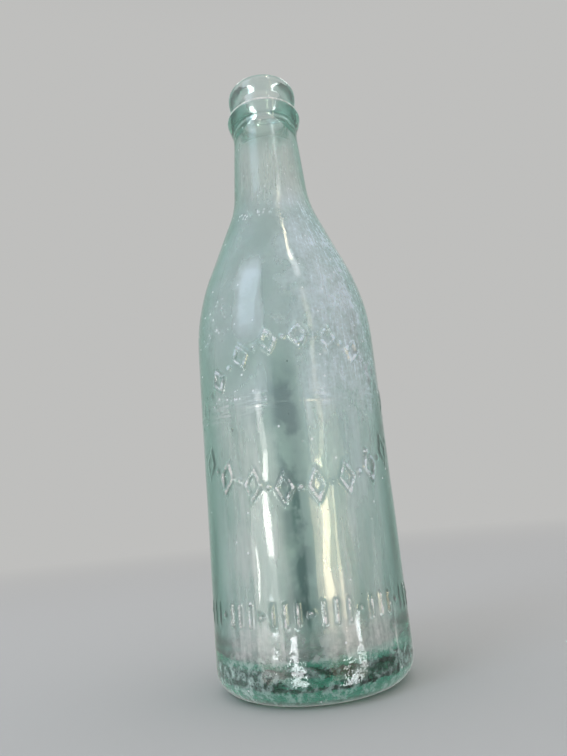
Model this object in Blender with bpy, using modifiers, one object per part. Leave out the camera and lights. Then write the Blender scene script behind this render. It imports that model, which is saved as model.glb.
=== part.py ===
"""A one-piece bottle of thick moulded glass, with a rounded lip and a ring for a crimped cap.

The bottle stands on Z = 0 with its axis on Z. It is one turned outline: up the inner wall from
the middle of the inside bottom, over the lip, and down the outer wall to the middle of the foot.
"""
import math

import bpy
from mathutils import Matrix, Vector

MM = 0.001

# Overall size
HEIGHT = 213.0 * MM
BODY_DIAMETER = 61.0 * MM

# Lip and ring, from the top down
LIP_DIAMETER = 26.2 * MM
LIP_HEIGHT = 5.2 * MM
LIP_TOP_FILLET = 3.0 * MM
LIP_UNDERCUT_HEIGHT = 2.4 * MM
LIP_UNDERCUT_FILLET = 8.0 * MM
GROOVE_DEPTH = 1.3 * MM
GROOVE_HEIGHT = 4.5 * MM
GROOVE_FILLET = 0.8 * MM
RING_REACH = 1.0 * MM
RING_BAND_HEIGHT = 1.3 * MM
RING_TOP_FILLET = 0.8 * MM
RING_LOWER_FILLET = 5.0 * MM
RING_TAPER_HEIGHT = 6.3 * MM
RING_FOOT_FILLET = 12.0 * MM

# Neck and shoulder, as corners where straight runs would meet
NECK_TOP_STEP = 1.0 * MM
NECK_LENGTH = 31.8 * MM
NECK_FOOT_DIAMETER = 28.4 * MM
NECK_FOOT_FILLET = 45.0 * MM
SHOULDER_RISE = 41.0 * MM
SHOULDER_FILLET = 75.0 * MM

# Foot
HEEL_FILLET = 7.5 * MM
BEARING_WIDTH = 2.5 * MM
PUSH_UP = 2.2 * MM
PUSH_UP_SLOPE_WIDTH = 9.0 * MM
PUSH_UP_FILLET = 14.0 * MM
BEARING_EDGE_FILLET = 3.0 * MM

# Inside
BORE_DIAMETER = 16.0 * MM
BORE_LENGTH = 14.0 * MM
BORE_LEAD_HEIGHT = 5.5 * MM
BORE_FILLET = 5.0 * MM
MOUTH_EDGE_FILLET = 0.9 * MM
NECK_TOP_WALL = 3.1 * MM
NECK_FOOT_WALL = 4.4 * MM
SHOULDER_WALL = 4.8 * MM
LOWER_WALL = 7.0 * MM
BASE_THICKNESS = 7.6 * MM
INSIDE_HEEL_FILLET = 9.0 * MM
INSIDE_CROWN = 0.6 * MM

# How finely curves are cut into flats
TURN_STEPS = 56
ARC_SAG = 0.09 * MM
MERGE_DISTANCE = 0.001 * MM

GLASS_COLOUR = (0.42, 0.66, 0.58, 1.0)
GLASS_ROUGHNESS = 0.12
GLASS_IOR = 1.52


def clear_scene():
    """Remove what the startup file holds."""
    for item in list(bpy.data.objects):
        bpy.data.objects.remove(item, do_unlink=True)


def tangent_lengths(places, fillets):
    """How far each corner's arc reaches along its runs, drawn in where two arcs would meet."""
    wanted = [0.0] * len(places)
    for index in range(1, len(places) - 1):
        back = places[index - 1] - places[index]
        ahead = places[index + 1] - places[index]
        wanted[index] = fillets[index] / math.tan(back.angle(ahead) / 2)
    fitted = []
    for index, tangent in enumerate(wanted):
        for other in (index - 1, index + 1):
            if tangent > 0 and 0 <= other < len(places):
                run = (places[other] - places[index]).length
                tangent = min(tangent, run * wanted[index] / (wanted[index] + wanted[other]))
        fitted.append(tangent)
    return fitted


def fillet_arc(before, corner, after, tangent):
    """Points of the arc that rounds a corner and reaches a tangent length along each run."""
    back = (before - corner).normalized()
    ahead = (after - corner).normalized()
    half_corner = back.angle(ahead) / 2
    turn = math.pi - 2 * half_corner
    radius = tangent * math.tan(half_corner)
    centre = corner + (back + ahead).normalized() * tangent / math.cos(half_corner)
    arm = corner + back * tangent - centre
    flat_angle = 2 * math.acos(max(0.0, 1 - ARC_SAG / radius))
    steps = math.ceil(turn / flat_angle)
    way = math.copysign(turn / steps, ahead.cross(back))
    return [centre + Matrix.Rotation(way * step, 2) @ arm for step in range(steps + 1)]


def rounded(corners):
    """An outline from corners given as (radius, height, fillet)."""
    places = [Vector((radius, height)) for radius, height, _ in corners]
    tangents = tangent_lengths(places, [fillet for _, _, fillet in corners])
    points = [places[0]]
    for index in range(1, len(corners)):
        if tangents[index] > 0:
            arc = fillet_arc(places[index - 1], places[index], places[index + 1], tangents[index])
        else:
            arc = [places[index]]
        points += [point for point in arc if (point - points[-1]).length > MERGE_DISTANCE]
    return points


def inset(before, corner, after, wall):
    """Where a corner of the outer outline lies on the inner one, a wall further in."""
    before, corner, after = Vector(before), Vector(corner), Vector(after)
    up = (corner - before).normalized()
    on = (after - corner).normalized()
    inward = Vector((-up.y, up.x)) + Vector((-on.y, on.x))
    inward.normalize()
    half_turn = up.angle(on) / 2
    return corner + inward * wall / math.cos(half_turn)


def heights():
    """Heights of the outline's corners, from the top down."""
    lip_under = HEIGHT - LIP_HEIGHT
    groove_top = lip_under - LIP_UNDERCUT_HEIGHT
    ring_top = groove_top - GROOVE_HEIGHT
    ring_lower = ring_top - RING_BAND_HEIGHT
    neck_top = ring_lower - RING_TAPER_HEIGHT
    neck_foot = neck_top - NECK_LENGTH
    shoulder = neck_foot - SHOULDER_RISE
    return lip_under, groove_top, ring_top, ring_lower, neck_top, neck_foot, shoulder


def outer_corners():
    """The outer wall from the lip's top down to the middle of the foot."""
    lip_under, groove_top, ring_top, ring_lower, neck_top, neck_foot, shoulder = heights()
    lip = LIP_DIAMETER / 2
    groove = lip - GROOVE_DEPTH
    ring = lip + RING_REACH
    body = BODY_DIAMETER / 2
    bearing = body - HEEL_FILLET - BEARING_WIDTH
    return [
        (lip, HEIGHT, LIP_TOP_FILLET),
        (lip, lip_under, LIP_UNDERCUT_FILLET),
        (groove, groove_top, GROOVE_FILLET),
        (groove, ring_top, GROOVE_FILLET),
        (ring, ring_top, RING_TOP_FILLET),
        (ring, ring_lower, RING_LOWER_FILLET),
        (lip - NECK_TOP_STEP, neck_top, RING_FOOT_FILLET),
        (NECK_FOOT_DIAMETER / 2, neck_foot, NECK_FOOT_FILLET),
        (body, shoulder, SHOULDER_FILLET),
        (body, 0, HEEL_FILLET),
        (bearing, 0, BEARING_EDGE_FILLET),
        (bearing - PUSH_UP_SLOPE_WIDTH, PUSH_UP, PUSH_UP_FILLET),
        (0, PUSH_UP, 0),
    ]


def inner_corners():
    """The inner wall from the middle of the inside bottom up to the mouth."""
    neck_top, neck_foot, shoulder = heights()[4:]
    body = BODY_DIAMETER / 2
    neck_top_radius = LIP_DIAMETER / 2 - NECK_TOP_STEP
    bore = BORE_DIAMETER / 2
    foot_place = (NECK_FOOT_DIAMETER / 2, neck_foot)
    shoulder_place = (body, shoulder)
    inner_shoulder = inset((body, 0), shoulder_place, foot_place, SHOULDER_WALL)
    inner_foot = inset(shoulder_place, foot_place, (neck_top_radius, neck_top), NECK_FOOT_WALL)
    bottom = PUSH_UP + BASE_THICKNESS
    bore_foot = HEIGHT - BORE_LENGTH
    return [
        (0, bottom + INSIDE_CROWN, 0),
        (body - LOWER_WALL, bottom, INSIDE_HEEL_FILLET),
        (*inner_shoulder, SHOULDER_FILLET),
        (*inner_foot, NECK_FOOT_FILLET),
        (neck_top_radius - NECK_TOP_WALL, bore_foot - BORE_LEAD_HEIGHT, BORE_FILLET),
        (bore, bore_foot, BORE_FILLET),
        (bore, HEIGHT, MOUTH_EDGE_FILLET),
    ]


def glass_material():
    """Pale green glass."""
    material = bpy.data.materials.new("green_glass")
    material.use_nodes = True
    material.diffuse_color = GLASS_COLOUR
    shader = material.node_tree.nodes["Principled BSDF"]
    shader.inputs["Base Color"].default_value = GLASS_COLOUR
    shader.inputs["Roughness"].default_value = GLASS_ROUGHNESS
    shader.inputs["Metallic"].default_value = 0.0
    shader.inputs["IOR"].default_value = GLASS_IOR
    shader.inputs["Transmission Weight"].default_value = 1.0
    return material


def turned(name, outline, material, collection):
    """An object made by turning an outline of (radius, height) points round Z."""
    mesh = bpy.data.meshes.new(name)
    points = [(radius, 0, height) for radius, height in outline]
    edges = [(index, index + 1) for index in range(len(points) - 1)]
    mesh.from_pydata(points, edges, [])
    mesh.materials.append(material)
    piece = bpy.data.objects.new(name, mesh)
    collection.objects.link(piece)
    screw = piece.modifiers.new("turn", "SCREW")
    screw.axis = "Z"
    screw.steps = TURN_STEPS
    screw.render_steps = TURN_STEPS
    screw.use_merge_vertices = True
    screw.merge_threshold = MERGE_DISTANCE
    screw.use_smooth_shade = True
    return piece


def main():
    clear_scene()
    collection = bpy.data.collections.new("glass_bottle")
    bpy.context.scene.collection.children.link(collection)
    outline = rounded(inner_corners() + outer_corners())
    turned("bottle_glass", outline, glass_material(), collection)


main()
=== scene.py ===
"""The looks of a glass bottle: a fine body of old blue-green glass with soft raised marks, seams,
seeds, ripples and a worn haze, with painted highlights, glints, sheen and a dark reflection in its
colour, on a pale floor, seen from the photograph's viewing angle.

Lengths are in metres. Angles round the bottle are in radians, zero at the front (-Y) and growing
towards +X. The material's bands are in degrees round the bottle and in millimetres up it, and
the lamps' azimuths are in degrees.
"""
import math
import random

import bmesh
import bpy
import numpy as np
from mathutils import Euler, Matrix, Vector


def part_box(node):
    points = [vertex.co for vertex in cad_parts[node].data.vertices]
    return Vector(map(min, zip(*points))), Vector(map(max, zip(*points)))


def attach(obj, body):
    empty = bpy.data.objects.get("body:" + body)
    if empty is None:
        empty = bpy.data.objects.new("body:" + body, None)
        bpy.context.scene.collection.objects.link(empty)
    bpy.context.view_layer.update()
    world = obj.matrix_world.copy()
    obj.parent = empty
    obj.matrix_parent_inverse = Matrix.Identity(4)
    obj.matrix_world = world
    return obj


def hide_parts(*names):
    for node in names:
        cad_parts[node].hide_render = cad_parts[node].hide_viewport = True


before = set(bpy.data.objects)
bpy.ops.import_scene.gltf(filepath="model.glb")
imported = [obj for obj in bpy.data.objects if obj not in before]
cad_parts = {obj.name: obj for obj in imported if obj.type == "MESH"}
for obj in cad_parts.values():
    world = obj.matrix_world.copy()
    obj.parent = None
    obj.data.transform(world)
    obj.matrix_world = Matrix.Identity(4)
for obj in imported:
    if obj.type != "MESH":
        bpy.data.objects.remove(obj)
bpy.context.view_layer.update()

MM = 0.001
NODE = "bottle_glass"
low_corner, high_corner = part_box(NODE)
HEIGHT = high_corner[2] - low_corner[2]
BODY_RADIUS = (high_corner[0] - low_corner[0]) / 2

# Lip and ring, from the top down
LIP_RADIUS = 13.1 * MM
LIP_HEIGHT = 5.2 * MM
LIP_TOP_FILLET = 3.0 * MM
LIP_UNDERCUT_HEIGHT = 2.4 * MM
LIP_UNDERCUT_FILLET = 8.0 * MM
GROOVE_DEPTH = 1.3 * MM
GROOVE_HEIGHT = 4.5 * MM
GROOVE_FILLET = 0.8 * MM
RING_REACH = 1.0 * MM
RING_BAND_HEIGHT = 1.3 * MM
RING_TOP_FILLET = 0.8 * MM
RING_LOWER_FILLET = 5.0 * MM
RING_TAPER_HEIGHT = 6.3 * MM
RING_FOOT_FILLET = 12.0 * MM

# Neck and shoulder, as corners where straight runs would meet
NECK_TOP_STEP = 1.0 * MM
NECK_LENGTH = 31.8 * MM
NECK_FOOT_RADIUS = 14.2 * MM
NECK_FOOT_FILLET = 45.0 * MM
SHOULDER_RISE = 41.0 * MM
SHOULDER_FILLET = 75.0 * MM

# Foot
HEEL_FILLET = 7.5 * MM
BEARING_WIDTH = 2.5 * MM
BEARING_EDGE_FILLET = 3.0 * MM
PUSH_UP = 2.2 * MM
PUSH_UP_SLOPE_WIDTH = 9.0 * MM
PUSH_UP_FILLET = 14.0 * MM

# Inside
BORE_RADIUS = 8.0 * MM
BORE_LENGTH = 14.0 * MM
BORE_LEAD_HEIGHT = 5.5 * MM
BORE_FILLET = 5.0 * MM
MOUTH_EDGE_FILLET = 0.9 * MM
MOUTH_DEPTH = 2.0 * MM
NECK_TOP_WALL = 3.1 * MM
NECK_FOOT_WALL = 4.4 * MM
SHOULDER_WALL = 4.8 * MM
LOWER_WALL = 7.0 * MM
BASE_THICKNESS = 7.6 * MM
INSIDE_HEEL_FILLET = 9.0 * MM
INSIDE_CROWN = 0.6 * MM

# The mesh: how far apart its rows and columns are, on plain glass and on the raised marks
FINE_SAG = 0.002 * MM
TURN_PER_ROW = math.radians(9)
PLAIN_ROW = 3.0 * MM
MARK_ROW = 0.47 * MM
INNER_ROW = 3.0 * MM
PLAIN_COLUMN = 1.7 * MM
MARK_COLUMN = 0.47 * MM
MARK_REACH = math.radians(94)
SEAM_REACH = math.radians(2.2)


def tangent_lengths(places, fillets):
    """How far each corner's arc reaches along its runs, drawn in where two arcs would meet."""
    wanted = [0.0] * len(places)
    for index in range(1, len(places) - 1):
        back = places[index - 1] - places[index]
        ahead = places[index + 1] - places[index]
        wanted[index] = fillets[index] / math.tan(back.angle(ahead) / 2)
    fitted = []
    for index, tangent in enumerate(wanted):
        for other in (index - 1, index + 1):
            if tangent > 0 and 0 <= other < len(places):
                run = (places[other] - places[index]).length
                tangent = min(tangent, run * wanted[index] / (wanted[index] + wanted[other]))
        fitted.append(tangent)
    return fitted


def fillet_arc(before, corner, after, tangent):
    """Points of the arc that rounds a corner and reaches a tangent length along each run."""
    back = (before - corner).normalized()
    ahead = (after - corner).normalized()
    half_corner = back.angle(ahead) / 2
    turn = math.pi - 2 * half_corner
    radius = tangent * math.tan(half_corner)
    centre = corner + (back + ahead).normalized() * tangent / math.cos(half_corner)
    arm = corner + back * tangent - centre
    flat_angle = 2 * math.acos(max(0.0, 1 - FINE_SAG / radius))
    steps = math.ceil(turn / flat_angle)
    way = math.copysign(turn / steps, ahead.cross(back))
    return [centre + Matrix.Rotation(way * step, 2) @ arm for step in range(steps + 1)]


def rounded(corners):
    """An array of (radius, height) points from corners given as (radius, height, fillet)."""
    places = [Vector((radius, height)) for radius, height, _ in corners]
    tangents = tangent_lengths(places, [fillet for _, _, fillet in corners])
    points = [places[0]]
    for index in range(1, len(corners)):
        if tangents[index] > 0:
            arc = fillet_arc(places[index - 1], places[index], places[index + 1], tangents[index])
        else:
            arc = [places[index]]
        points += [point for point in arc if (point - points[-1]).length > FINE_SAG]
    return np.array([tuple(point) for point in points])


def inset(before, corner, after, wall):
    """Where a corner of the outer outline lies on the inner one, a wall further in."""
    before, corner, after = Vector(before), Vector(corner), Vector(after)
    up = (corner - before).normalized()
    on = (after - corner).normalized()
    inward = (Vector((-up.y, up.x)) + Vector((-on.y, on.x))).normalized()
    return corner + inward * wall / math.cos(up.angle(on) / 2)


LIP_UNDER = HEIGHT - LIP_HEIGHT
GROOVE_TOP = LIP_UNDER - LIP_UNDERCUT_HEIGHT
RING_TOP = GROOVE_TOP - GROOVE_HEIGHT
RING_LOWER = RING_TOP - RING_BAND_HEIGHT
NECK_TOP = RING_LOWER - RING_TAPER_HEIGHT
NECK_FOOT = NECK_TOP - NECK_LENGTH
SHOULDER = NECK_FOOT - SHOULDER_RISE
NECK_TOP_RADIUS = LIP_RADIUS - NECK_TOP_STEP
GROOVE_RADIUS = LIP_RADIUS - GROOVE_DEPTH
RING_RADIUS = LIP_RADIUS + RING_REACH
BEARING_INNER_RADIUS = BODY_RADIUS - HEEL_FILLET - BEARING_WIDTH
INSIDE_BOTTOM = PUSH_UP + BASE_THICKNESS


def outer_outline():
    """The outside, from the middle of the foot up, over the lip and a little way down the bore."""
    return rounded([
        (0, PUSH_UP, 0),
        (BEARING_INNER_RADIUS - PUSH_UP_SLOPE_WIDTH, PUSH_UP, PUSH_UP_FILLET),
        (BEARING_INNER_RADIUS, 0, BEARING_EDGE_FILLET),
        (BODY_RADIUS, 0, HEEL_FILLET),
        (BODY_RADIUS, SHOULDER, SHOULDER_FILLET),
        (NECK_FOOT_RADIUS, NECK_FOOT, NECK_FOOT_FILLET),
        (NECK_TOP_RADIUS, NECK_TOP, RING_FOOT_FILLET),
        (RING_RADIUS, RING_LOWER, RING_LOWER_FILLET),
        (RING_RADIUS, RING_TOP, RING_TOP_FILLET),
        (GROOVE_RADIUS, RING_TOP, GROOVE_FILLET),
        (GROOVE_RADIUS, GROOVE_TOP, GROOVE_FILLET),
        (LIP_RADIUS, LIP_UNDER, LIP_UNDERCUT_FILLET),
        (LIP_RADIUS, HEIGHT, LIP_TOP_FILLET),
        (BORE_RADIUS, HEIGHT, MOUTH_EDGE_FILLET),
        (BORE_RADIUS, HEIGHT - MOUTH_DEPTH, 0),
    ])


def inner_outline():
    """The inside, from just below the mouth down to the middle of the inside bottom."""
    shoulder_place = (BODY_RADIUS, SHOULDER)
    foot_place = (NECK_FOOT_RADIUS, NECK_FOOT)
    inner_shoulder = inset((BODY_RADIUS, 0), shoulder_place, foot_place, SHOULDER_WALL)
    inner_foot = inset(shoulder_place, foot_place, (NECK_TOP_RADIUS, NECK_TOP), NECK_FOOT_WALL)
    bore_foot = HEIGHT - BORE_LENGTH
    return rounded([
        (BORE_RADIUS, HEIGHT - MOUTH_DEPTH, 0),
        (BORE_RADIUS, bore_foot, BORE_FILLET),
        (NECK_TOP_RADIUS - NECK_TOP_WALL, bore_foot - BORE_LEAD_HEIGHT, BORE_FILLET),
        (*inner_foot, NECK_FOOT_FILLET),
        (*inner_shoulder, SHOULDER_FILLET),
        (BODY_RADIUS - LOWER_WALL, INSIDE_BOTTOM, INSIDE_HEEL_FILLET),
        (0, INSIDE_BOTTOM + INSIDE_CROWN, 0),
    ])


def rows_along(outline, spacing_at):
    """Pick rows along a fine outline: closer where it turns and where spacing_at(height) asks."""
    steps = np.diff(outline, axis=0)
    lengths = np.hypot(steps[:, 0], steps[:, 1])
    headings = np.unwrap(np.arctan2(steps[:, 1], steps[:, 0]))
    turns = np.abs(np.gradient(headings))
    middles = (outline[:-1] + outline[1:]) / 2
    shares = np.maximum(lengths / spacing_at(middles[:, 1]), turns / TURN_PER_ROW)
    total = np.concatenate([[0.0], np.cumsum(shares)])
    wanted = np.linspace(0, total[-1], math.ceil(total[-1]) + 1)
    radius = np.interp(wanted, total, outline[:, 0])
    height = np.interp(wanted, total, outline[:, 1])
    return np.stack([radius, height], axis=1)


# Raised marks, generic: hollow lozenges and beads in two arched rows, short ribs round the heel
MARK_HEIGHT = 0.90 * MM
STROKE_HALF_WIDTH = 1.00 * MM
LOZENGE_HALF_WIDTH = 2.4 * MM
BEAD_RADIUS = 1.4 * MM
UPPER_ROW = {
    "top": 102.5 * MM, "drop": 23.0 * MM, "middle": math.radians(7), "reach": math.radians(78),
    "marks": 19, "half_height": 3.4 * MM,
}
LOWER_ROW = {
    "top": 57.5 * MM, "drop": -13.0 * MM, "middle": math.radians(1), "reach": math.radians(70),
    "marks": 17, "half_height": 4.3 * MM,
}
HEEL_ROW_HEIGHT = 24.0 * MM
HEEL_RIB_HALF_LENGTH = 2.8 * MM
HEEL_RIB_HALF_WIDTH = 0.8 * MM
HEEL_ROW_REACH = math.radians(80)
HEEL_MARKS = 25
HEEL_BEAD_EVERY = 4
MARK_MARGIN = 2.0 * MM
TILT_SHARE = 0.5
FULL_MARKS_TO = math.radians(46)
LOW_MARKS_FROM = math.radians(62)
LOW_MARK_SHARE = 0.25

SEAM_ANGLE = math.radians(50)
SEAM_HEIGHT = 0.28 * MM
SEAM_HEIGHT_ABOVE = 0.07 * MM
SEAM_HALF_WIDTH = 0.7 * MM
SEAM_STRONG_TO = 20 * MM
SEAM_FAINT_FROM = 32 * MM
PLATE_LINE_HEIGHT = 82.5 * MM
PLATE_LINE_PROUD = 0.12 * MM
PLATE_LINE_HALF_WIDTH = 0.7 * MM


def bump(distance, half_width, height):
    """A smooth ridge or dome: full height at no distance, nothing at half_width."""
    return height * 0.5 * (1 + np.cos(np.pi * np.clip(distance / half_width, 0, 1)))


def angle_from(angles, centre):
    """Angles measured from a centre, between minus and plus half a turn."""
    return (angles - centre + np.pi) % (2 * np.pi) - np.pi


def mark_places():
    """The rows' marks, as (kind, angle, height, tilt, half height)."""
    places = []
    for row in (UPPER_ROW, LOWER_ROW):
        for index in range(row["marks"]):
            share = 2 * index / (row["marks"] - 1) - 1
            height = row["top"] - row["drop"] * share * share
            slope = -2 * row["drop"] * share / (row["reach"] * BODY_RADIUS)
            tilt = TILT_SHARE * math.atan(slope)
            kind = "lozenge" if index % 2 else "bead"
            angle = row["middle"] + share * row["reach"]
            places.append((kind, angle, height, tilt, row["half_height"]))
    for index in range(HEEL_MARKS):
        share = 2 * index / (HEEL_MARKS - 1) - 1
        kind = "rib" if index % HEEL_BEAD_EVERY else "bead"
        places.append((kind, share * HEEL_ROW_REACH, HEEL_ROW_HEIGHT, 0.0, HEEL_RIB_HALF_LENGTH))
    return places


def mark_profile(kind, side, rise, half_height):
    """How proud one mark stands, at arrays of distance beside and above its centre."""
    if kind == "lozenge":
        diagonal = math.hypot(LOZENGE_HALF_WIDTH, half_height)
        edge = np.abs(side) / LOZENGE_HALF_WIDTH + np.abs(rise) / half_height - 1
        distance = np.abs(edge) * LOZENGE_HALF_WIDTH * half_height / diagonal
        return bump(distance, STROKE_HALF_WIDTH, MARK_HEIGHT)
    if kind == "rib":
        past = np.maximum(np.abs(rise) - half_height, 0)
        return bump(np.hypot(side, past), HEEL_RIB_HALF_WIDTH, MARK_HEIGHT)
    return bump(np.hypot(side, rise), BEAD_RADIUS, MARK_HEIGHT)


def raised(angles, heights):
    """How far the glass stands proud of the turned outline, at arrays of angle and height."""
    proud = np.zeros(np.broadcast(angles, heights).shape)
    for kind, angle, height, tilt, half_height in mark_places():
        across = angle_from(angles, angle) * BODY_RADIUS
        up = heights - height
        side = across * math.cos(tilt) + up * math.sin(tilt)
        rise = up * math.cos(tilt) - across * math.sin(tilt)
        proud = np.maximum(proud, mark_profile(kind, side, rise, half_height))
    aside = np.abs(angle_from(angles, 0))
    proud = proud * np.interp(aside, (FULL_MARKS_TO, LOW_MARKS_FROM), (1, LOW_MARK_SHARE))
    line = bump(np.abs(heights - PLATE_LINE_HEIGHT), PLATE_LINE_HALF_WIDTH, PLATE_LINE_PROUD)
    proud = np.maximum(proud, line)
    seam_ends = (SEAM_STRONG_TO, SEAM_FAINT_FROM, NECK_FOOT, NECK_TOP)
    seam = np.interp(heights, seam_ends, (SEAM_HEIGHT, SEAM_HEIGHT_ABOVE, SEAM_HEIGHT_ABOVE, 0))
    for side in (0, np.pi):
        across = np.abs(angle_from(angles, SEAM_ANGLE + side)) * BODY_RADIUS
        proud = np.maximum(proud, bump(across, SEAM_HALF_WIDTH, seam))
    return proud


# The inside and outside of old glass are never quite true. Each unevenness has its own seed
WAVES_IN_SUM = 14
WAVE_SPREAD = (0.7, 1.5)
OUTER_RIPPLE = 0.05 * MM
OUTER_RIPPLE_LENGTH = 13 * MM
OUTER_RIPPLE_SEED = 1
OUTER_RIPPLE_SUNK = 1.5
FOOT_RIPPLE = 0.25 * MM
FOOT_RIPPLE_LENGTH = 8 * MM
FOOT_RIPPLE_SEED = 2
INNER_RIPPLE = 0.10 * MM
INNER_RIPPLE_LENGTH = 13 * MM
INNER_RIPPLE_SEED = 3
INNER_STREAK = 0.14 * MM
INNER_STREAK_LENGTH = 11 * MM
INNER_STREAK_DRAW = 0.16
INNER_STREAK_SEED = 4
INNER_WAVE = 0.4 * MM
INNER_WAVE_LENGTH = 48 * MM
INNER_WAVE_SEED = 5
INSIDE_TILT = math.radians(3.6)
INSIDE_TILT_ANGLE = math.radians(70)
INSIDE_TILT_FADE = 3 * INSIDE_HEEL_FILLET


def ripple(points, length, seed, draw=1.0):
    """A sum of plane waves of about the given length, mostly between -1 and 1.

    A draw below 1 lengthens them upwards.
    """
    chance = np.random.default_rng(seed)
    ways = chance.normal(size=(WAVES_IN_SUM, 3))
    ways /= np.linalg.norm(ways, axis=1)[:, None]
    ways *= 2 * np.pi / (length * chance.uniform(*WAVE_SPREAD, size=(WAVES_IN_SUM, 1)))
    ways[:, 2] *= draw
    phases = chance.uniform(0, 2 * np.pi, size=WAVES_IN_SUM)
    return np.sin(points @ ways.T + phases).sum(axis=1) / math.sqrt(WAVES_IN_SUM)


FINE_ANGLES = 7201


def column_angles():
    """Angles of the mesh's columns, an even number, closer over the marks and the rear seam."""
    fine = np.linspace(-np.pi, np.pi, FINE_ANGLES)
    middles = (fine[:-1] + fine[1:]) / 2
    rear_seam = np.abs(angle_from(middles, SEAM_ANGLE + np.pi))
    close = (np.abs(middles) < MARK_REACH) | (rear_seam < SEAM_REACH)
    spacing = np.where(close, MARK_COLUMN, PLAIN_COLUMN) / BODY_RADIUS
    total = np.concatenate([[0.0], np.cumsum(np.diff(fine) / spacing)])
    count = 2 * math.ceil(total[-1] / 2)
    return np.interp(np.linspace(0, total[-1], count + 1)[:-1], total, fine)


def turned_grid(rows, angles, proud):
    """Grid points of turned rows, with proud (an array or a number) added to the radius."""
    radii = rows[:, 0][:, None] + proud
    x = radii * np.sin(angles)
    y = -radii * np.cos(angles)
    z = np.broadcast_to(rows[:, 1][:, None], x.shape)
    return np.stack([x, y, z], axis=2)


def push_radially(points, amount):
    """Move points away from the axis by an amount each, less where they are near it."""
    radius = np.hypot(points[:, 0], points[:, 1])
    points[:, :2] *= (1 + amount / np.maximum(radius, MM))[:, None]


def outer_rows():
    """Rows of the outer surface, close together where marks are."""
    def spacing(heights):
        wanted = np.full(heights.shape, PLAIN_ROW)
        spans = [(HEEL_ROW_HEIGHT - HEEL_RIB_HALF_LENGTH, HEEL_ROW_HEIGHT + HEEL_RIB_HALF_LENGTH)]
        spans += [(PLATE_LINE_HEIGHT, PLATE_LINE_HEIGHT)]
        for row in (UPPER_ROW, LOWER_ROW):
            ends = sorted((row["top"], row["top"] - row["drop"]))
            spans.append((ends[0] - row["half_height"], ends[1] + row["half_height"]))
        for low, high in spans:
            wanted[(heights > low - MARK_MARGIN) & (heights < high + MARK_MARGIN)] = MARK_ROW
        return wanted

    return rows_along(outer_outline(), spacing)


def outer_grid(angles):
    """The middle of the foot, and the outer surface with marks, seams and faint ripples."""
    rows = outer_rows()
    middle, rows = rows[0], rows[1:]
    heights = rows[:, 1][:, None]
    on_body = np.clip((heights - HEEL_FILLET / 3) / HEEL_FILLET, 0, 1)
    on_body = on_body * np.clip((NECK_TOP - heights) / RING_TAPER_HEIGHT, 0, 1)
    grid = turned_grid(rows, angles, raised(angles[None, :], heights) * on_body)
    points = grid.reshape(-1, 3)
    rippled = np.clip(points[:, 2] / HEEL_FILLET, 0, 1)
    rippled = rippled * np.clip((NECK_TOP - points[:, 2]) / NECK_LENGTH, 0, 1)
    waves = ripple(points, OUTER_RIPPLE_LENGTH, OUTER_RIPPLE_SEED) - OUTER_RIPPLE_SUNK
    push_radially(points, OUTER_RIPPLE * waves * rippled)
    radius = np.hypot(points[:, 0], points[:, 1])
    push_up_edge = BEARING_INNER_RADIUS - BEARING_EDGE_FILLET
    in_push_up = np.clip((push_up_edge - radius) / PUSH_UP_SLOPE_WIDTH, 0, 1)
    in_push_up *= points[:, 2] < 2 * PUSH_UP
    points[:, 2] += FOOT_RIPPLE * ripple(points, FOOT_RIPPLE_LENGTH, FOOT_RIPPLE_SEED) * in_push_up
    return middle, points.reshape(grid.shape)


def inner_grid(angles):
    """The middle of the inside bottom, and the rippled inner surface, a little tilted low down."""
    rows = rows_along(inner_outline(), lambda heights: np.full(heights.shape, INNER_ROW))
    rows, middle = rows[:-1], rows[-1]
    grid = turned_grid(rows, angles, 0 * angles)
    points = grid.reshape(-1, 3)
    depth = np.clip((HEIGHT - BORE_LENGTH - points[:, 2]) / NECK_LENGTH, 0, 1)
    streaks = ripple(points, INNER_STREAK_LENGTH, INNER_STREAK_SEED, INNER_STREAK_DRAW)
    amount = INNER_RIPPLE * ripple(points, INNER_RIPPLE_LENGTH, INNER_RIPPLE_SEED)
    amount += INNER_STREAK * streaks
    amount += INNER_WAVE * ripple(points, INNER_WAVE_LENGTH, INNER_WAVE_SEED)
    push_radially(points, amount * depth)
    low = np.clip(1 - (points[:, 2] - INSIDE_BOTTOM) / INSIDE_TILT_FADE, 0, 1)
    toward_x, toward_y = math.sin(INSIDE_TILT_ANGLE), -math.cos(INSIDE_TILT_ANGLE)
    toward = points[:, 0] * toward_x + points[:, 1] * toward_y
    points[:, 2] += math.tan(INSIDE_TILT) * toward * low
    return middle, points.reshape(grid.shape)


def glass_body():
    """The bottle's mesh: outer grid, mouth, inner grid and two middles, as one closed body."""
    angles = column_angles()
    foot, outer = outer_grid(angles)
    bottom, inner = inner_grid(angles[::2])
    mesh = bmesh.new()
    foot_point = mesh.verts.new((0, 0, foot[1]))
    outer_rings = [[mesh.verts.new(point) for point in row] for row in outer]
    inner_rings = [[mesh.verts.new(point) for point in row] for row in inner[1:]]
    bottom_point = mesh.verts.new((0, 0, bottom[1]))

    def after(ring, index):
        return ring[(index + 1) % len(ring)]

    for index, corner in enumerate(outer_rings[0]):
        mesh.faces.new((foot_point, after(outer_rings[0], index), corner))
    for rings in (outer_rings, inner_rings):
        for ring, next_ring in zip(rings, rings[1:]):
            for index, corner in enumerate(ring):
                beyond = (after(next_ring, index), next_ring[index])
                mesh.faces.new((corner, after(ring, index), *beyond))
    mouth = outer_rings[-1]
    for index, corner in enumerate(inner_rings[0]):
        first, second = mouth[2 * index], mouth[2 * index + 1]
        third = after(mouth, 2 * index + 1)
        following = after(inner_rings[0], index)
        mesh.faces.new((first, second, corner))
        mesh.faces.new((second, following, corner))
        mesh.faces.new((second, third, following))
    for index, corner in enumerate(inner_rings[-1]):
        mesh.faces.new((corner, after(inner_rings[-1], index), bottom_point))
    return mesh


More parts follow.
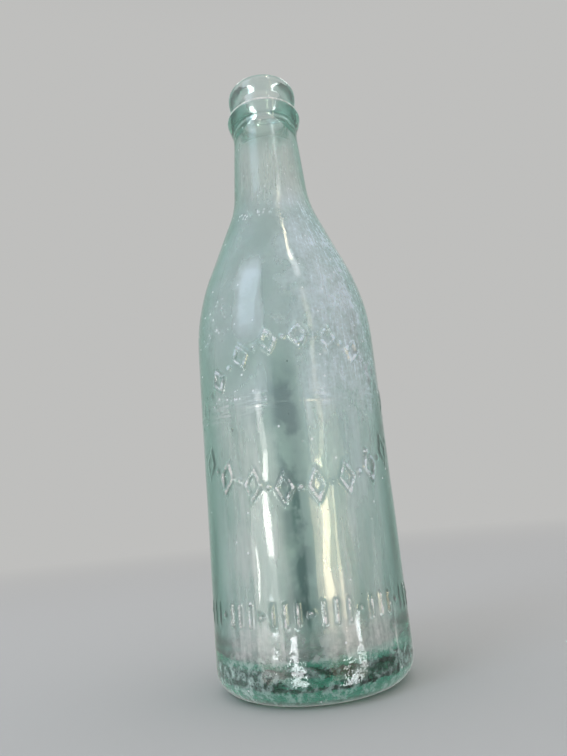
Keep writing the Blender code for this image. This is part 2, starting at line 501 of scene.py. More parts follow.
# Seeds, the small bubbles in the glass
SEED_COUNT = 60
SEED_RADII = (0.13 * MM, 0.42 * MM)
SEED_MAX_STRETCH = 2.0
SEED_SIZE_POWER = 2
SEED_HEIGHTS = (16 * MM, 168 * MM)
SEED_DEPTH_SHARES = (0.3, 0.7)
SEED_RANDOM = 11


def add_seeds(mesh):
    """Cut small closed hollows into the wall, drawn out along the bottle."""
    chance = random.Random(SEED_RANDOM)
    outer = outer_outline()
    outer = outer[(outer[:, 1] > HEEL_FILLET) & (outer[:, 1] < NECK_TOP)]
    inner = inner_outline()[::-1]
    inner = inner[inner[:, 1] > INSIDE_BOTTOM + INSIDE_CROWN]
    for _ in range(SEED_COUNT):
        height = chance.uniform(*SEED_HEIGHTS)
        outside = np.interp(height, outer[:, 1], outer[:, 0])
        inside = np.interp(height, inner[:, 1], inner[:, 0])
        radius = outside + (inside - outside) * chance.uniform(*SEED_DEPTH_SHARES)
        angle = chance.uniform(-math.pi, math.pi)
        share = chance.random() ** SEED_SIZE_POWER
        size = SEED_RADII[0] + (SEED_RADII[1] - SEED_RADII[0]) * share
        centre = Vector((radius * math.sin(angle), -radius * math.cos(angle), height))
        stretched = Matrix.Diagonal((size, size, size * chance.uniform(1, SEED_MAX_STRETCH), 1))
        shape = Matrix.Translation(centre) @ stretched
        made = bmesh.ops.create_icosphere(mesh, subdivisions=1, radius=1.0, matrix=shape)
        faces = {face for vert in made["verts"] for face in vert.link_faces}
        bmesh.ops.reverse_faces(mesh, faces=list(faces))


# The colour sockets of Blender's Mix node, by place
MIX_SHARE = 0
MIX_FIRST = 6
MIX_SECOND = 7
MIX_RESULT = 2


class Graph:
    """Short names for making the nodes of one material or world."""

    def __init__(self, tree):
        self.tree = tree
        tree.nodes.clear()

    def node(self, kind, inputs=(), **settings):
        """A node of a kind, with its settings and with its inputs joined or set."""
        made = self.tree.nodes.new(kind)
        for name, value in settings.items():
            setattr(made, name, value)
        for name, value in dict(inputs).items():
            if isinstance(value, bpy.types.NodeSocket):
                self.tree.links.new(value, made.inputs[name])
            else:
                made.inputs[name].default_value = value
        return made

    def math(self, operation, first, second=0.0, clamp=False):
        """One step of arithmetic on one or two values."""
        settings = {"operation": operation, "use_clamp": clamp}
        return self.node("ShaderNodeMath", {0: first, 1: second}, **settings).outputs[0]

    def product(self, *values):
        """All the values multiplied."""
        result = values[0]
        for value in values[1:]:
            result = self.math("MULTIPLY", result, value)
        return result

    def total(self, *values):
        """All the values added, kept between nothing and one."""
        result = values[0]
        for value in values[1:]:
            result = self.math("ADD", result, value, clamp=True)
        return result

    def ramp(self, value, start, end, low=0.0, high=1.0):
        """Go smoothly from low to high while the value goes from start to end."""
        inputs = {"Value": value, "From Min": start, "From Max": end, "To Min": low, "To Max": high}
        return self.node("ShaderNodeMapRange", inputs, interpolation_type="SMOOTHSTEP").outputs[0]

    def band(self, value, start, full_start, full_end, end):
        """One between full_start and full_end, falling smoothly to nothing at start and end."""
        rising = self.ramp(value, start, full_start)
        falling = self.ramp(value, full_end, end, 1.0, 0.0)
        return self.math("MULTIPLY", rising, falling)

    def noise(self, vector, size, detail=2.0, roughness=0.5, distortion=0.0):
        """Noise with bumps of about the given size, in the vector's unit."""
        inputs = {"Vector": vector, "Scale": 1 / size, "Detail": detail}
        inputs.update({"Roughness": roughness, "Distortion": distortion})
        return self.node("ShaderNodeTexNoise", inputs).outputs["Fac"]

    def blend(self, shares, *patterns):
        """An even share plus a share of each pattern, kept between nothing and one."""
        parts = [self.product(pattern, share) for pattern, share in zip(patterns, shares[1:])]
        return self.total(shares[0], *parts)

    def patches(self, vector, pattern, distortion=0.0):
        """Noise sharpened into patches: a pattern says size, detail, roughness, start and full."""
        size, detail, roughness, start, full = pattern
        return self.ramp(self.noise(vector, size, detail, roughness, distortion), start, full)

    def along(self, value, stops):
        """A value that runs straight between stops, given as (value, result) in order."""
        result = stops[0][1]
        for (start, first), (end, second) in zip(stops, stops[1:]):
            inputs = {"Value": value, "From Min": start, "From Max": end}
            inputs.update({"To Min": 0.0, "To Max": second - first})
            step = self.node("ShaderNodeMapRange", inputs).outputs[0]
            result = self.math("ADD", step, result)
        return result

    def mixed(self, share, first, second):
        """One colour turned into a second one by a share."""
        inputs = {MIX_SHARE: share, MIX_FIRST: first, MIX_SECOND: second}
        return self.node("ShaderNodeMix", inputs, data_type="RGBA").outputs[MIX_RESULT]

    def scaled(self, vector, scale):
        """A vector with each part multiplied."""
        made = self.node("ShaderNodeVectorMath", {0: vector, 1: scale}, operation="MULTIPLY")
        return made.outputs[0]


# Colours of the glass, its painted dark reflection, its haze and the painted light laid in with
# it, and how much light the glass absorbs
GLASS_IOR = 1.52
CLEAR_COLOUR = (1.0, 1.0, 1.0, 1)
BASE_TINT = (0.67, 0.92, 0.87, 1)
EDGE_TINT = (0.30, 0.76, 0.62, 1)
PAINTED_DARK_REFLECTION_COLOUR = (0.45, 0.47, 0.52, 1)
PAINTED_DARK_LINE_COLOUR = (0.26, 0.34, 0.36, 1)
COOL_HAZE_AND_PAINTED_LIGHT = (0.78, 0.90, 0.99, 1)
WARM_HAZE_AND_PAINTED_LIGHT = (0.97, 0.92, 0.88, 1)
LOW_HAZE_AND_PAINTED_LIGHT = (0.65, 0.80, 0.75, 1)
PAINTED_GLINT_COLOUR = (0.97, 0.98, 1.0, 1)
PASSED_COLOUR = (0.32, 0.75, 0.66, 1)
ABSORBED_PER_METRE = 66.0

# Roughness, from 0 to 1. The inside's changes to the bore's between two heights
OUTSIDE_ROUGHNESS = 0.05
NECK_ROUGHNESS_ADDED = 0.12
ROUGH_NECK = (140, 152, 182, 190)
INSIDE_ROUGHNESS = 0.24
BORE_ROUGHNESS = 0.07
BORE_CHANGE = (178 * MM, 198 * MM)
HAZE_ROUGHNESS = 0.50
FILM_LEFT_GLOSSY = 0.30

# Fine unevenness of the surface
FINE_RIPPLE = 0.014 * MM
FINE_RIPPLE_SIZE = 4.0 * MM
FINE_RIPPLE_DETAIL = 2
BASE_PITTING = 0.11 * MM
BASE_PITTING_SIZE = 2.0 * MM
BASE_PITTING_DETAIL = (2, 0.55)
PITTED_BASE = (-2, -1, 12, 17)

# Radius halfway through the wall, at heights. Past it, blended over a little, is the outside
MID_WALL = (
    (106 * MM, 27.0 * MM), (121 * MM, 26.0 * MM), (134 * MM, 22.3 * MM),
    (148 * MM, 16.6 * MM), (161 * MM, 12.4 * MM), (194 * MM, 10.3 * MM),
)
MID_WALL_BLEND = 0.5 * MM
FOOT_OUTSIDE_TO = (4.5 * MM, 5.5 * MM)

# Where the rear half starts and is full, and how squarely the front faces forward
REAR_FROM = (math.radians(100), math.radians(135))
FRONT_FACING = (0.25, 0.70)

# Stretches of the wrapped place that draw a pattern out along the bottle or round it
DRAWN_UP = (1, 1, 0.13)
DRAWN_ROUND = (0.12, 0.12, 1)


class Places:
    """Where a point of the glass is, as values and vectors for the material's masks."""

    def __init__(self, g, place):
        parts = g.node("ShaderNodeSeparateXYZ", {0: place}).outputs
        flat = g.scaled(place, (1, 1, 0))
        around = g.node("ShaderNodeVectorMath", {0: flat}, operation="NORMALIZE").outputs[0]
        around = g.scaled(around, (BODY_RADIUS, BODY_RADIUS, BODY_RADIUS))
        upward = g.scaled(place, (0, 0, 1))
        distance = g.node("ShaderNodeVectorMath", {0: flat}, operation="LENGTH")
        wrapped = g.node("ShaderNodeVectorMath", {0: around, 1: upward}, operation="ADD")
        self.place = place
        self.height = parts[2]
        self.radius = distance.outputs["Value"]
        self.angle = g.math("ARCTAN2", parts[0], g.math("MULTIPLY", parts[1], -1.0))
        self.facing = g.math("ABSOLUTE", g.math("DIVIDE", parts[1], self.radius))
        self.sideways = g.math("DIVIDE", parts[0], self.radius)
        self.wrapped = wrapped.outputs[0]
        self.drawn_up = g.scaled(self.wrapped, DRAWN_UP)
        self.drawn_round = g.scaled(self.wrapped, DRAWN_ROUND)
        beyond = g.math("SUBTRACT", self.radius, g.along(self.height, MID_WALL))
        underneath = g.ramp(self.height, *FOOT_OUTSIDE_TO, 1.0, 0.0)
        past_middle = g.ramp(beyond, -MID_WALL_BLEND, MID_WALL_BLEND)
        self.outside = g.math("MAXIMUM", past_middle, underneath)

    def between(self, g, band):
        """A band round the bottle: its start, full start, full end and end, in degrees."""
        return g.band(self.angle, *(math.radians(value) for value in band))

    def level(self, g, band):
        """A band up the bottle: its start, full start, full end and end, in millimetres."""
        return g.band(self.height, *(value * MM for value in band))

    def patch(self, g, place):
        """Where a band round the bottle and a band up it meet, given as (angles, heights)."""
        angles, heights = place
        return g.product(self.between(g, angles), self.level(g, heights))

    def behind(self, g):
        """The rear half, softly."""
        return g.ramp(g.math("ABSOLUTE", self.angle), *REAR_FROM)

    def stretched(self, g, upward):
        """The wrapped place with its height multiplied, to draw a pattern out along the bottle."""
        return g.scaled(self.wrapped, (1, 1, upward))


# Painted glints, as white dots all over: the size of their cells, and how far from a cell's middle
# they are full and end, as shares of the cell
GLINT_DOT_CELL = 4.5 * MM
GLINT_DOT = (0.05, 0.10)
SPARKLE_CELL = 1.6 * MM
SPARKLE = (0.22, 0.33)
SPARKLE_PATCHES = (3.5 * MM, 1, 0.5, 0.48, 0.54)

# Where painted glints lie close together: angles and heights
LEFT_SPARKLE = ((-64, -57, -43, -34), (104, 108, 118, 121))
NECK_SPARKLE = ((-44, -40, -6, 0), (149.6, 150.6, 153.4, 154.4))
LOW_SPARKLE = ((-60, -50, -20, -12), (83.5, 84.5, 87.5, 88.5))
LOW_SPARKLE_SHARE = 0.8

# Painted glints, white on the crests of the marks that face the camera
GLINT_FROM = (BODY_RADIUS + 0.40 * MM, BODY_RADIUS + 0.75 * MM)
GLINT_PATCHES = (1.3 * MM, 2, 0.55, 0.52, 0.60)
GLINT_ANGLES = (-38, -33, 40, 52)
GLINT_SHARE = 0.85


def painted_glint_amount(g, at):
    """Painted glints: white dots all over, close ones in a few places, and on the marks' crests."""
    def dots(cell, reach):
        cells = g.node("ShaderNodeTexVoronoi", {"Vector": at.wrapped, "Scale": 1 / cell})
        return g.ramp(cells.outputs["Distance"], *reach, 1.0, 0.0)

    some = g.patches(at.wrapped, SPARKLE_PATCHES)
    places = g.total(
        g.product(some, at.patch(g, LEFT_SPARKLE)),
        at.patch(g, NECK_SPARKLE),
        g.product(some, at.patch(g, LOW_SPARKLE), LOW_SPARKLE_SHARE),
    )
    close = g.product(dots(SPARKLE_CELL, SPARKLE), places)
    glint_spots = g.patches(at.wrapped, GLINT_PATCHES)
    crests = g.ramp(at.radius, *GLINT_FROM)
    glints = g.product(crests, glint_spots, at.between(g, GLINT_ANGLES), GLINT_SHARE)
    return g.product(g.total(dots(GLINT_DOT_CELL, GLINT_DOT), close, glints), at.outside)


# Patterns of the haze: size, detail, roughness, and the noise where they start and are full
STREAKS = (1.2 * MM, 4, 0.62, 0.42, 0.70)
STREAK_DISTORTION = 0.4
MOTTLE = (2.0 * MM, 4, 0.65, 0.42, 0.64)
FINE_MOTTLE = (0.9 * MM, 2, 0.6, 0.40, 0.66)
CLOUDS = (14 * MM, 4, 0.6, 0.36, 0.66)
LONG_CLOUDS = (8 * MM, 3, 0.6, 0.36, 0.66)
LONG_CLOUD_DRAW = 0.30
DRIPS = (2.4 * MM, 3, 0.6, 0.40, 0.68)
DRIP_DRAW = 0.10
SCUFFS = (0.8 * MM, 3, 0.6, 0.46, 0.60)

# What some of the haze is blended from: an even share, then a share of each pattern
SOFT_BLEND = (0.20, 0.5, 0.3)
GRAIN_BLEND = (0.10, 0.30, 0.24, 0.14, 0.12)
FOOT_BLEND = (0.2, 0.8)
SIDE_BLEND = (0.35, 0.65)
RESIDUE_BLEND = (0.3, 0.4, 0.3)

# Where the haze and the painted light laid in with it lie, and how much of them, from 0 to 1
HAZE_EVERYWHERE = 0.012
# Body film in two lobes beside the highlights: part haze, part painted sheen standing in for their
# glow
LEFT_SHEEN_LOBE = (-66, -30, -14, -6)
RIGHT_SHEEN_LOBE = (1, 10, 30, 70)
BODY_FILM_AND_SHEEN = (9, 16, 84, 106)
BODY_FILM_AND_SHEEN_SHARE = 0.46
BACK_FILM_SHARE = 0.16
SHOULDER_FILM = (88, 112, 150, 172)
SHOULDER_FILM_RANGE = (0.14, 0.28)
# A painted reflection of the window: a soft bluish-white patch on the shoulder
PAINTED_WINDOW_REFLECTION = ((-34, -24, -14, -10), (98, 108, 125, 136))
PAINTED_WINDOW_REFLECTION_SHARE = 0.26
NECK_FILM = (145, 172, 178, 190)
NECK_FILM_RANGE = (0.20, 0.30)
LIP_FILM_FROM = (198 * MM, 203 * MM)
LIP_FILM_SHARE = 0.12
WORN_SIDE = ((-10, 40, 66, 84), (70, 94, 140, 182))
WORN_SIDE_SHARE = 0.98
WEAR_LINE = (78, 80.5, 85, 88)
WEAR_LINE_SHARE = 0.28
FOOT_HAZE = (-2, -1, 1.5, 8)
FOOT_HAZE_SHARE = 0.30
BASE_HAZE = (-2, -1, 10, 15)
BASE_HAZE_SHARE = 0.30
# Base sides: haze, made heavier as painted light that lightens the base's shaded patches
BASE_SIDE_HAZE_AND_LIGHT = (1, 3, 9, 13)
BASE_LEFT_SIDE = (-84, -64, -36, -24)
BASE_RIGHT_SIDE = (46, 56, 74, 88)
BASE_RIGHT_SIDE_SHARE = 0.6
BASE_SIDE_HAZE_AND_LIGHT_SHARE = 0.38
LOW_RESIDUE = (11, 13, 17, 27)
LOW_RESIDUE_SHARE = 0.34
# The marks' crests: worn haze, also made whiter as painted glints
CREST_FROM = (BODY_RADIUS + 0.25 * MM, BODY_RADIUS + 0.60 * MM)
CREST_SHARE = 0.70
# A painted highlight: a white line round the ring's top edge, broken up like wear
PAINTED_RIM_HIGHLIGHT_FROM = (13.1 * MM, 13.4 * MM)
PAINTED_RIM_HIGHLIGHT = (199.5, 200.2, 201, 201.4)
PAINTED_RIM_HIGHLIGHT_RANGE = (0.55, 0.95)
SEAM_HAZE = ((48.8, 49.5, 50.5, 51.2), (2, 4, 14, 20))
SEAM_HAZE_SHARE = 0.25


def haze_and_painted_light_amount(g, at):
    """How much haze (film, streaks, wear, residue) and painted light cover the glass, from 0 to 1.
    """
    streaks = g.patches(at.drawn_up, STREAKS, STREAK_DISTORTION)
    mottle = g.patches(at.wrapped, MOTTLE)
    fine = g.patches(at.wrapped, FINE_MOTTLE)
    clouds = g.patches(at.wrapped, CLOUDS)
    long_clouds = g.patches(at.stretched(g, LONG_CLOUD_DRAW), LONG_CLOUDS)
    drips = g.patches(at.stretched(g, DRIP_DRAW), DRIPS)
    scuffs = g.patches(at.drawn_round, SCUFFS)

    in_front = g.ramp(at.facing, *FRONT_FACING)
    lobes = g.total(at.between(g, LEFT_SHEEN_LOBE), at.between(g, RIGHT_SHEEN_LOBE))
    soft = g.blend(SOFT_BLEND, long_clouds, drips)
    body_film_and_sheen = g.product(lobes, at.level(g, BODY_FILM_AND_SHEEN), soft)
    back_film = g.product(in_front, at.behind(g), long_clouds)
    cloudy = g.ramp(clouds, 0.0, 1.0, *SHOULDER_FILM_RANGE)
    dripping = g.ramp(drips, 0.0, 1.0, *NECK_FILM_RANGE)
    grain = g.blend(GRAIN_BLEND, streaks, mottle, fine, clouds)
    wear_line = g.product(at.level(g, WEAR_LINE), scuffs, long_clouds, clouds)
    foot = g.product(at.level(g, FOOT_HAZE), g.blend(FOOT_BLEND, mottle))
    right_side = g.product(at.between(g, BASE_RIGHT_SIDE), BASE_RIGHT_SIDE_SHARE)
    at_sides = g.total(at.between(g, BASE_LEFT_SIDE), right_side)
    mottled = g.blend(SIDE_BLEND, mottle)
    patchy = g.blend(RESIDUE_BLEND, mottle, drips)
    crests = g.product(g.ramp(at.radius, *CREST_FROM), mottle)
    painted_rim_highlight = g.product(g.ramp(at.radius, *PAINTED_RIM_HIGHLIGHT_FROM), at.level(g, PAINTED_RIM_HIGHLIGHT))
    return g.total(
        HAZE_EVERYWHERE,
        # haze and painted sheen beside the highlights
        g.product(body_film_and_sheen, BODY_FILM_AND_SHEEN_SHARE),
        g.product(back_film, BACK_FILM_SHARE),
        g.product(in_front, at.level(g, SHOULDER_FILM), cloudy),
        # the painted window reflection
        g.product(at.patch(g, PAINTED_WINDOW_REFLECTION), PAINTED_WINDOW_REFLECTION_SHARE),
        g.product(in_front, at.level(g, NECK_FILM), dripping),
        g.ramp(at.height, *LIP_FILM_FROM, 0.0, LIP_FILM_SHARE),
        g.product(at.patch(g, WORN_SIDE), grain, at.outside, WORN_SIDE_SHARE),
        g.product(wear_line, WEAR_LINE_SHARE),
        g.product(foot, FOOT_HAZE_SHARE),
        g.product(at.level(g, BASE_HAZE), mottle, BASE_HAZE_SHARE),
        # haze and painted light on the base's shaded sides
        g.product(at.level(g, BASE_SIDE_HAZE_AND_LIGHT), at_sides, mottled, BASE_SIDE_HAZE_AND_LIGHT_SHARE),
        g.product(at.level(g, LOW_RESIDUE), in_front, patchy, LOW_RESIDUE_SHARE),
        # worn haze and painted glints on the crests
        g.product(crests, at.outside, CREST_SHARE),
        # the painted rim highlight
        g.product(painted_rim_highlight, g.ramp(mottle, 0.0, 1.0, *PAINTED_RIM_HIGHLIGHT_RANGE)),
        g.product(at.patch(g, SEAM_HAZE), at.outside, SEAM_HAZE_SHARE),
    )


# The haze, and the painted light laid in with it, is warm low on the body, below a line that falls
# towards +X, and high on the neck
WARM_LINE_FALL = 30 * MM
WARM_BELOW = (50 * MM, 84 * MM)
WARM_ABOVE = (150 * MM, 172 * MM)
LOW_HAZE_LEVEL = (-2, -1, 9, 15)


def haze_and_painted_light_colour(g, at, painted_glints):
    """Bluish on the shoulder, warm on the neck and body, green on the base, and white for painted
    glints.
    """
    shifted = g.math("ADD", at.height, g.product(at.sideways, WARM_LINE_FALL))
    low_down = g.ramp(shifted, *WARM_BELOW, 1.0, 0.0)
    warm = g.total(low_down, g.ramp(at.height, *WARM_ABOVE))
    colour = g.mixed(warm, COOL_HAZE_AND_PAINTED_LIGHT, WARM_HAZE_AND_PAINTED_LIGHT)
    colour = g.mixed(at.level(g, LOW_HAZE_LEVEL), colour, LOW_HAZE_AND_PAINTED_LIGHT)
    return g.mixed(painted_glints, colour, PAINTED_GLINT_COLOUR)


# A painted dark reflection down the front, soft and patchy, and a darker painted line in it
PAINTED_DARK_REFLECTION_PATCHES = (7 * MM, 3, 0.6, 0.36, 0.60)
PAINTED_DARK_REFLECTION_RANGE = (0.34, 0.88)
PAINTED_DARK_REFLECTION = ((-16, -9, 0, 8), (16, 26, 84, 100))
PAINTED_DARK_REFLECTION_FULL_FROM = (32 * MM, 56 * MM)
PAINTED_DARK_REFLECTION_SHARE_BELOW = 0.70
DARK_LINE_PATCHES = (3.2 * MM, 3, 0.6, 0.38, 0.58)
DARK_LINE_DRAW = 0.45
DARK_LINE_RANGE = (0.35, 1.0)
PAINTED_DARK_LINE = ((-7.0, -4.5, -1.5, 1.0), (17, 23, 52, 66))

# How far edge-on the outside is where the edge tint starts and is full, and how strong it is
EDGE_FROM = (0.38, 0.82)
EDGE_SHARE = 0.90
EDGE_BLEND = 0.5
TINTED_BASE = (-2, -1, 9, 14)


def clear_colour(g, at):
    """Clear glass, greener at the base and edge-on, with a painted dark reflection down the front.
    """
    clouds = g.patches(at.wrapped, PAINTED_DARK_REFLECTION_PATCHES)
    painted_dark_reflection = g.product(at.patch(g, PAINTED_DARK_REFLECTION), g.ramp(clouds, 0.0, 1.0, *PAINTED_DARK_REFLECTION_RANGE))
    painted_dark_reflection = g.product(painted_dark_reflection, g.ramp(at.height, *PAINTED_DARK_REFLECTION_FULL_FROM, PAINTED_DARK_REFLECTION_SHARE_BELOW, 1.0))
    dark_line_noise = g.patches(at.stretched(g, DARK_LINE_DRAW), DARK_LINE_PATCHES)
    line = g.product(at.patch(g, PAINTED_DARK_LINE), g.ramp(dark_line_noise, 0.0, 1.0, *DARK_LINE_RANGE))
    edge_on = g.node("ShaderNodeLayerWeight", {"Blend": EDGE_BLEND}).outputs["Facing"]
    edge = g.product(g.ramp(edge_on, *EDGE_FROM), at.outside, EDGE_SHARE)
    glass = g.mixed(at.level(g, TINTED_BASE), CLEAR_COLOUR, BASE_TINT)
    glass = g.mixed(edge, glass, EDGE_TINT)
    # The painted dark reflection, then its darker painted line
    glass = g.mixed(painted_dark_reflection, glass, PAINTED_DARK_REFLECTION_COLOUR)
    return g.mixed(line, glass, PAINTED_DARK_LINE_COLOUR)


def surface_ripple(g, at):
    """A fine unevenness in metres: faint all over, and pitted round the base."""
    fine = g.product(g.noise(at.wrapped, FINE_RIPPLE_SIZE, FINE_RIPPLE_DETAIL), FINE_RIPPLE)
    pits = g.product(g.noise(at.place, BASE_PITTING_SIZE, *BASE_PITTING_DETAIL), BASE_PITTING)
    pits = g.product(pits, at.level(g, PITTED_BASE))
    return g.math("ADD", fine, pits)


def glass_material():
    """Old glass: absorbing green inside, with haze and painted light on its surfaces and an uneven
    inside.
    """
    material = bpy.data.materials.new("old_glass")
    material.use_nodes = True
    g = Graph(material.node_tree)
    at = Places(g, g.node("ShaderNodeTexCoord").outputs["Object"])
    # Painted glints: white laid into the base colour together with the haze
    painted_glints = painted_glint_amount(g, at)
    haze_and_painted_light = g.total(haze_and_painted_light_amount(g, at), painted_glints)
    within = g.ramp(at.height, *BORE_CHANGE, INSIDE_ROUGHNESS, BORE_ROUGHNESS)
    within = g.product(within, g.math("SUBTRACT", 1.0, at.outside))
    on_neck = g.product(at.level(g, ROUGH_NECK), NECK_ROUGHNESS_ADDED)
    clean = g.total(within, on_neck, OUTSIDE_ROUGHNESS)
    hazy = g.ramp(haze_and_painted_light, FILM_LEFT_GLOSSY, 1.0, 0.0, HAZE_ROUGHNESS)
    bumps = {"Height": surface_ripple(g, at), "Strength": 1.0, "Distance": 1.0}
    uneven = g.node("ShaderNodeBump", bumps)
    shader = g.node("ShaderNodeBsdfPrincipled", {
        "Base Color": g.mixed(haze_and_painted_light, clear_colour(g, at), haze_and_painted_light_colour(g, at, painted_glints)),
        "Roughness": g.math("MAXIMUM", clean, hazy),
        "IOR": GLASS_IOR,
        "Transmission Weight": g.math("SUBTRACT", 1.0, haze_and_painted_light, clamp=True),
        "Normal": uneven.outputs["Normal"],
    })
    absorption = {"Color": PASSED_COLOUR, "Density": ABSORBED_PER_METRE}
    inside = g.node("ShaderNodeVolumeAbsorption", absorption)
    g.node("ShaderNodeOutputMaterial", {"Surface": shader.outputs[0], "Volume": inside.outputs[0]})
    return material


def make_bottle():
    """The bottle's visible piece, which stands for the CAD node."""
    mesh = glass_body()
    add_seeds(mesh)
    data = bpy.data.meshes.new("old_glass_bottle")
    mesh.to_mesh(data)
    mesh.free()
    data.shade_smooth()
    data.materials.append(glass_material())
    piece = bpy.data.objects.new("old_glass_bottle", data)
    bpy.context.scene.collection.objects.link(piece)
    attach(piece, "root")
    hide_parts(NODE)


# The camera, fitted to the bottle's outline in the photograph
CAMERA_PLACE = Vector((-1.58, -192.8, 49.12)) * MM
CAMERA_PITCH = math.radians(13.89)
CAMERA_ROLL = math.radians(-5.34)
CAMERA_LENS = 27.05
SENSOR_LONG_SIDE = 36.0
CLIP_START = 5 * MM


def make_camera():
    """The camera at the photograph's viewing angle."""
    data = bpy.data.cameras.new("camera")
    data.lens = CAMERA_LENS
    data.sensor_width = SENSOR_LONG_SIDE
    data.clip_start = CLIP_START
    camera = bpy.data.objects.new("camera", data)
    camera.location = CAMERA_PLACE
    level = Euler((math.pi / 2 + CAMERA_PITCH, 0, 0)).to_matrix()
    camera.rotation_euler = (level @ Matrix.Rotation(CAMERA_ROLL, 3, "Z")).to_euler()
    bpy.context.scene.collection.objects.link(camera)
    bpy.context.scene.camera = camera


# The surroundings and the floor. The ceiling starts and is full at sines of elevation
BACKGROUND = (0.52, 0.52, 0.51, 1)
CEILING = (0.45, 0.46, 0.46, 1)
CEILING_START = math.sin(math.radians(44))
CEILING_END = math.sin(math.radians(66))
WORLD_LIGHT = (0.80, 0.80, 0.81, 1)
FLOOR_COLOUR = (0.56, 0.56, 0.55, 1)
FLOOR_ROUGHNESS = 0.95
FLOOR_RADIUS = 4.0
FLOOR_SIDES = 96
FLOOR_GAP = 0.03 * MM
FLOOR_FADE_START = 0.35
FLOOR_FADE_END = 1.3


def seen_share(g):
    """One for camera, glossy and transmission rays, and nothing for the rest."""
    path = g.node("ShaderNodeLightPath").outputs
    either = g.math("MAXIMUM", path["Is Camera Ray"], path["Is Glossy Ray"])
    return g.math("MAXIMUM", either, path["Is Transmission Ray"])


def make_world():
    """A plain pale surrounding with a darker ceiling, which lights matt things evenly."""
    world = bpy.data.worlds.new("studio")
    world.use_nodes = True
    bpy.context.scene.world = world
    g = Graph(world.node_tree)
    way = g.node("ShaderNodeTexCoord").outputs["Generated"]
    upward = g.node("ShaderNodeSeparateXYZ", {0: way}).outputs[2]
    ceiling = g.ramp(upward, CEILING_START, CEILING_END)
    colour = g.mixed(ceiling, BACKGROUND, CEILING)
    light = g.node("ShaderNodeBackground", {"Color": WORLD_LIGHT, "Strength": 1.0})
    seen = g.node("ShaderNodeBackground", {"Color": colour, "Strength": 1.0})
    either = {0: seen_share(g), 1: light.outputs[0], 2: seen.outputs[0]}
    mixed = g.node("ShaderNodeMixShader", either)
    g.node("ShaderNodeOutputWorld", {"Surface": mixed.outputs[0]})


def make_floor():
    """A pale round floor that fades into the background far behind the bottle."""
    bpy.ops.mesh.primitive_circle_add(
        vertices=FLOOR_SIDES, radius=FLOOR_RADIUS, fill_type="NGON",
        location=(0, 0, -FLOOR_GAP),
    )
    floor = bpy.context.object
    floor.name = "floor"
    material = bpy.data.materials.new("pale_floor")
    material.use_nodes = True
    g = Graph(material.node_tree)
    place = g.node("ShaderNodeTexCoord").outputs["Object"]
    distance = g.node("ShaderNodeVectorMath", {0: place}, operation="LENGTH").outputs["Value"]
    far = g.ramp(distance, FLOOR_FADE_START, FLOOR_FADE_END)
    matt = g.node("ShaderNodeBsdfPrincipled", {
        "Base Color": FLOOR_COLOUR,
        "Roughness": FLOOR_ROUGHNESS,
        "Specular IOR Level": 0.0,
    })
    glow = g.node("ShaderNodeEmission", {"Color": BACKGROUND, "Strength": 1.0})
    mixed = g.node("ShaderNodeMixShader", {0: far, 1: matt.outputs[0], 2: glow.outputs[0]})
    g.node("ShaderNodeOutputMaterial", {"Surface": mixed.outputs[0]})
    floor.data.materials.append(material)
    floor.visible_glossy = False


def beside(azimuth, distance, height):
    """A place at an azimuth in degrees from the front towards +X, a distance from the axis."""
    turn = math.radians(azimuth)
    return Vector((math.sin(turn) * distance, -math.cos(turn) * distance, height))


def add_lamp(name, place, aim, width, height, radiance, colour, lights_matt_things=False):
    """A flat soft lamp that faces its aim. radiance is what its surface gives off."""
    data = bpy.data.lights.new(name, "AREA")
    data.shape = "RECTANGLE"
    data.size, data.size_y = width, height
    data.energy = radiance * math.pi * width * height
    data.color = colour
    lamp = bpy.data.objects.new(name, data)
    lamp.location = place
    lamp.rotation_euler = (aim - place).to_track_quat("-Z", "Y").to_euler()
    lamp.visible_camera = False
    lamp.visible_diffuse = lights_matt_things
    bpy.context.scene.collection.objects.link(lamp)


# Colours of light
WHITE = (1, 1, 1)
COOL_WHITE = (0.94, 0.97, 1.0)
SKY_BLUE = (0.62, 0.80, 1.0)
SOFT_WHITE = (1.0, 0.95, 0.91)
WARM_WHITE = (1.0, 0.85, 0.57)

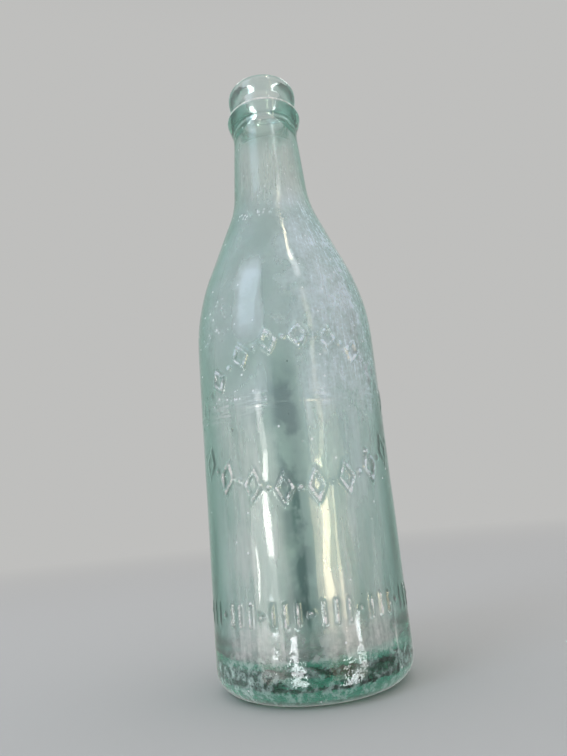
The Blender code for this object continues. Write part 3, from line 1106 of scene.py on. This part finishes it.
# Flat lamps: name, place, what they face, width, height, radiance and colour
SHOULDER_PLACE = Vector((0, 0, 0.125))
LIP_PLACE = Vector((0, 0, 0.15))
FLAT_LAMPS = (
    ("window", beside(-47, 0.70, 0.66), SHOULDER_PLACE, 0.33, 0.54, 2.2, SKY_BLUE),
    ("overhead_left", Vector((-0.17, 0.42, 0.95)), LIP_PLACE, 0.08, 0.13, 7.0, WHITE),
    ("overhead_right", Vector((0.33, 0.42, 0.95)), LIP_PLACE, 0.14, 0.20, 6.0, WHITE),
    ("right_high", beside(29, 0.22, 0.56), SHOULDER_PLACE, 0.024, 0.12, 10.0, WARM_WHITE),
    ("right_upper", beside(30, 0.30, 0.54), SHOULDER_PLACE, 0.050, 0.16, 3.5, WHITE),
)
LAMP_FOR_MATT_THINGS = "window"

# Upright strips beside the bottle, which show only in its gloss: name, azimuth in degrees, lowest
# and highest point, width, radiance and colour
STRIP_DISTANCE = 0.35
STRIPS = (
    ("left", -37.5, 0.020, 0.105, 0.042, 13.0, SOFT_WHITE),
    ("left_above", -37.5, 0.105, 0.16, 0.042, 4.0, SOFT_WHITE),
    ("left_thin", -54, -0.008, 0.024, 0.014, 13.0, SOFT_WHITE),
    ("left_below", -41, -0.042, -0.010, 0.034, 12.0, COOL_WHITE),
    ("left_glow", -40, -0.13, 0.13, 0.26, 0.9, SOFT_WHITE),
    ("left_bloom", -46, -0.08, 0.09, 0.17, 2.4, SOFT_WHITE),
    ("left_foot", -22, -0.068, -0.045, 0.045, 14.0, COOL_WHITE),
    ("left_foot_low", -19, -0.180, -0.068, 0.080, 12.0, COOL_WHITE),
    ("right", 25.5, -0.015, 0.10, 0.052, 11.0, WARM_WHITE),
    ("right_above", 31, 0.10, 0.40, 0.030, 2.5, WARM_WHITE),
    ("right_thin", 37, -0.03, 0.08, 0.014, 9.0, WARM_WHITE),
    ("right_glow", 36, -0.13, 0.15, 0.24, 0.9, WARM_WHITE),
    ("right_bloom", 23, -0.035, 0.085, 0.15, 3.4, WARM_WHITE),
    ("right_foot", 50, -0.078, -0.034, 0.022, 14.0, COOL_WHITE),
    ("right_foot_low", 39, -0.250, -0.080, 0.085, 12.0, COOL_WHITE),
)


def make_lamps():
    """A cool window at the left, small soft lamps overhead, and strips and panels at both sides."""
    for name, place, aim, width, height, radiance, colour in FLAT_LAMPS:
        matt_too = name == LAMP_FOR_MATT_THINGS
        add_lamp(name, place, aim, width, height, radiance, colour, matt_too)
    for name, azimuth, low, high, width, radiance, colour in STRIPS:
        middle = (low + high) / 2
        place = beside(azimuth, STRIP_DISTANCE, middle)
        add_lamp(name, place, Vector((0, 0, middle)), width, high - low, radiance, colour)


make_bottle()
make_camera()
make_world()
make_floor()
make_lamps()
bpy.context.scene.view_settings.view_transform = "Standard"
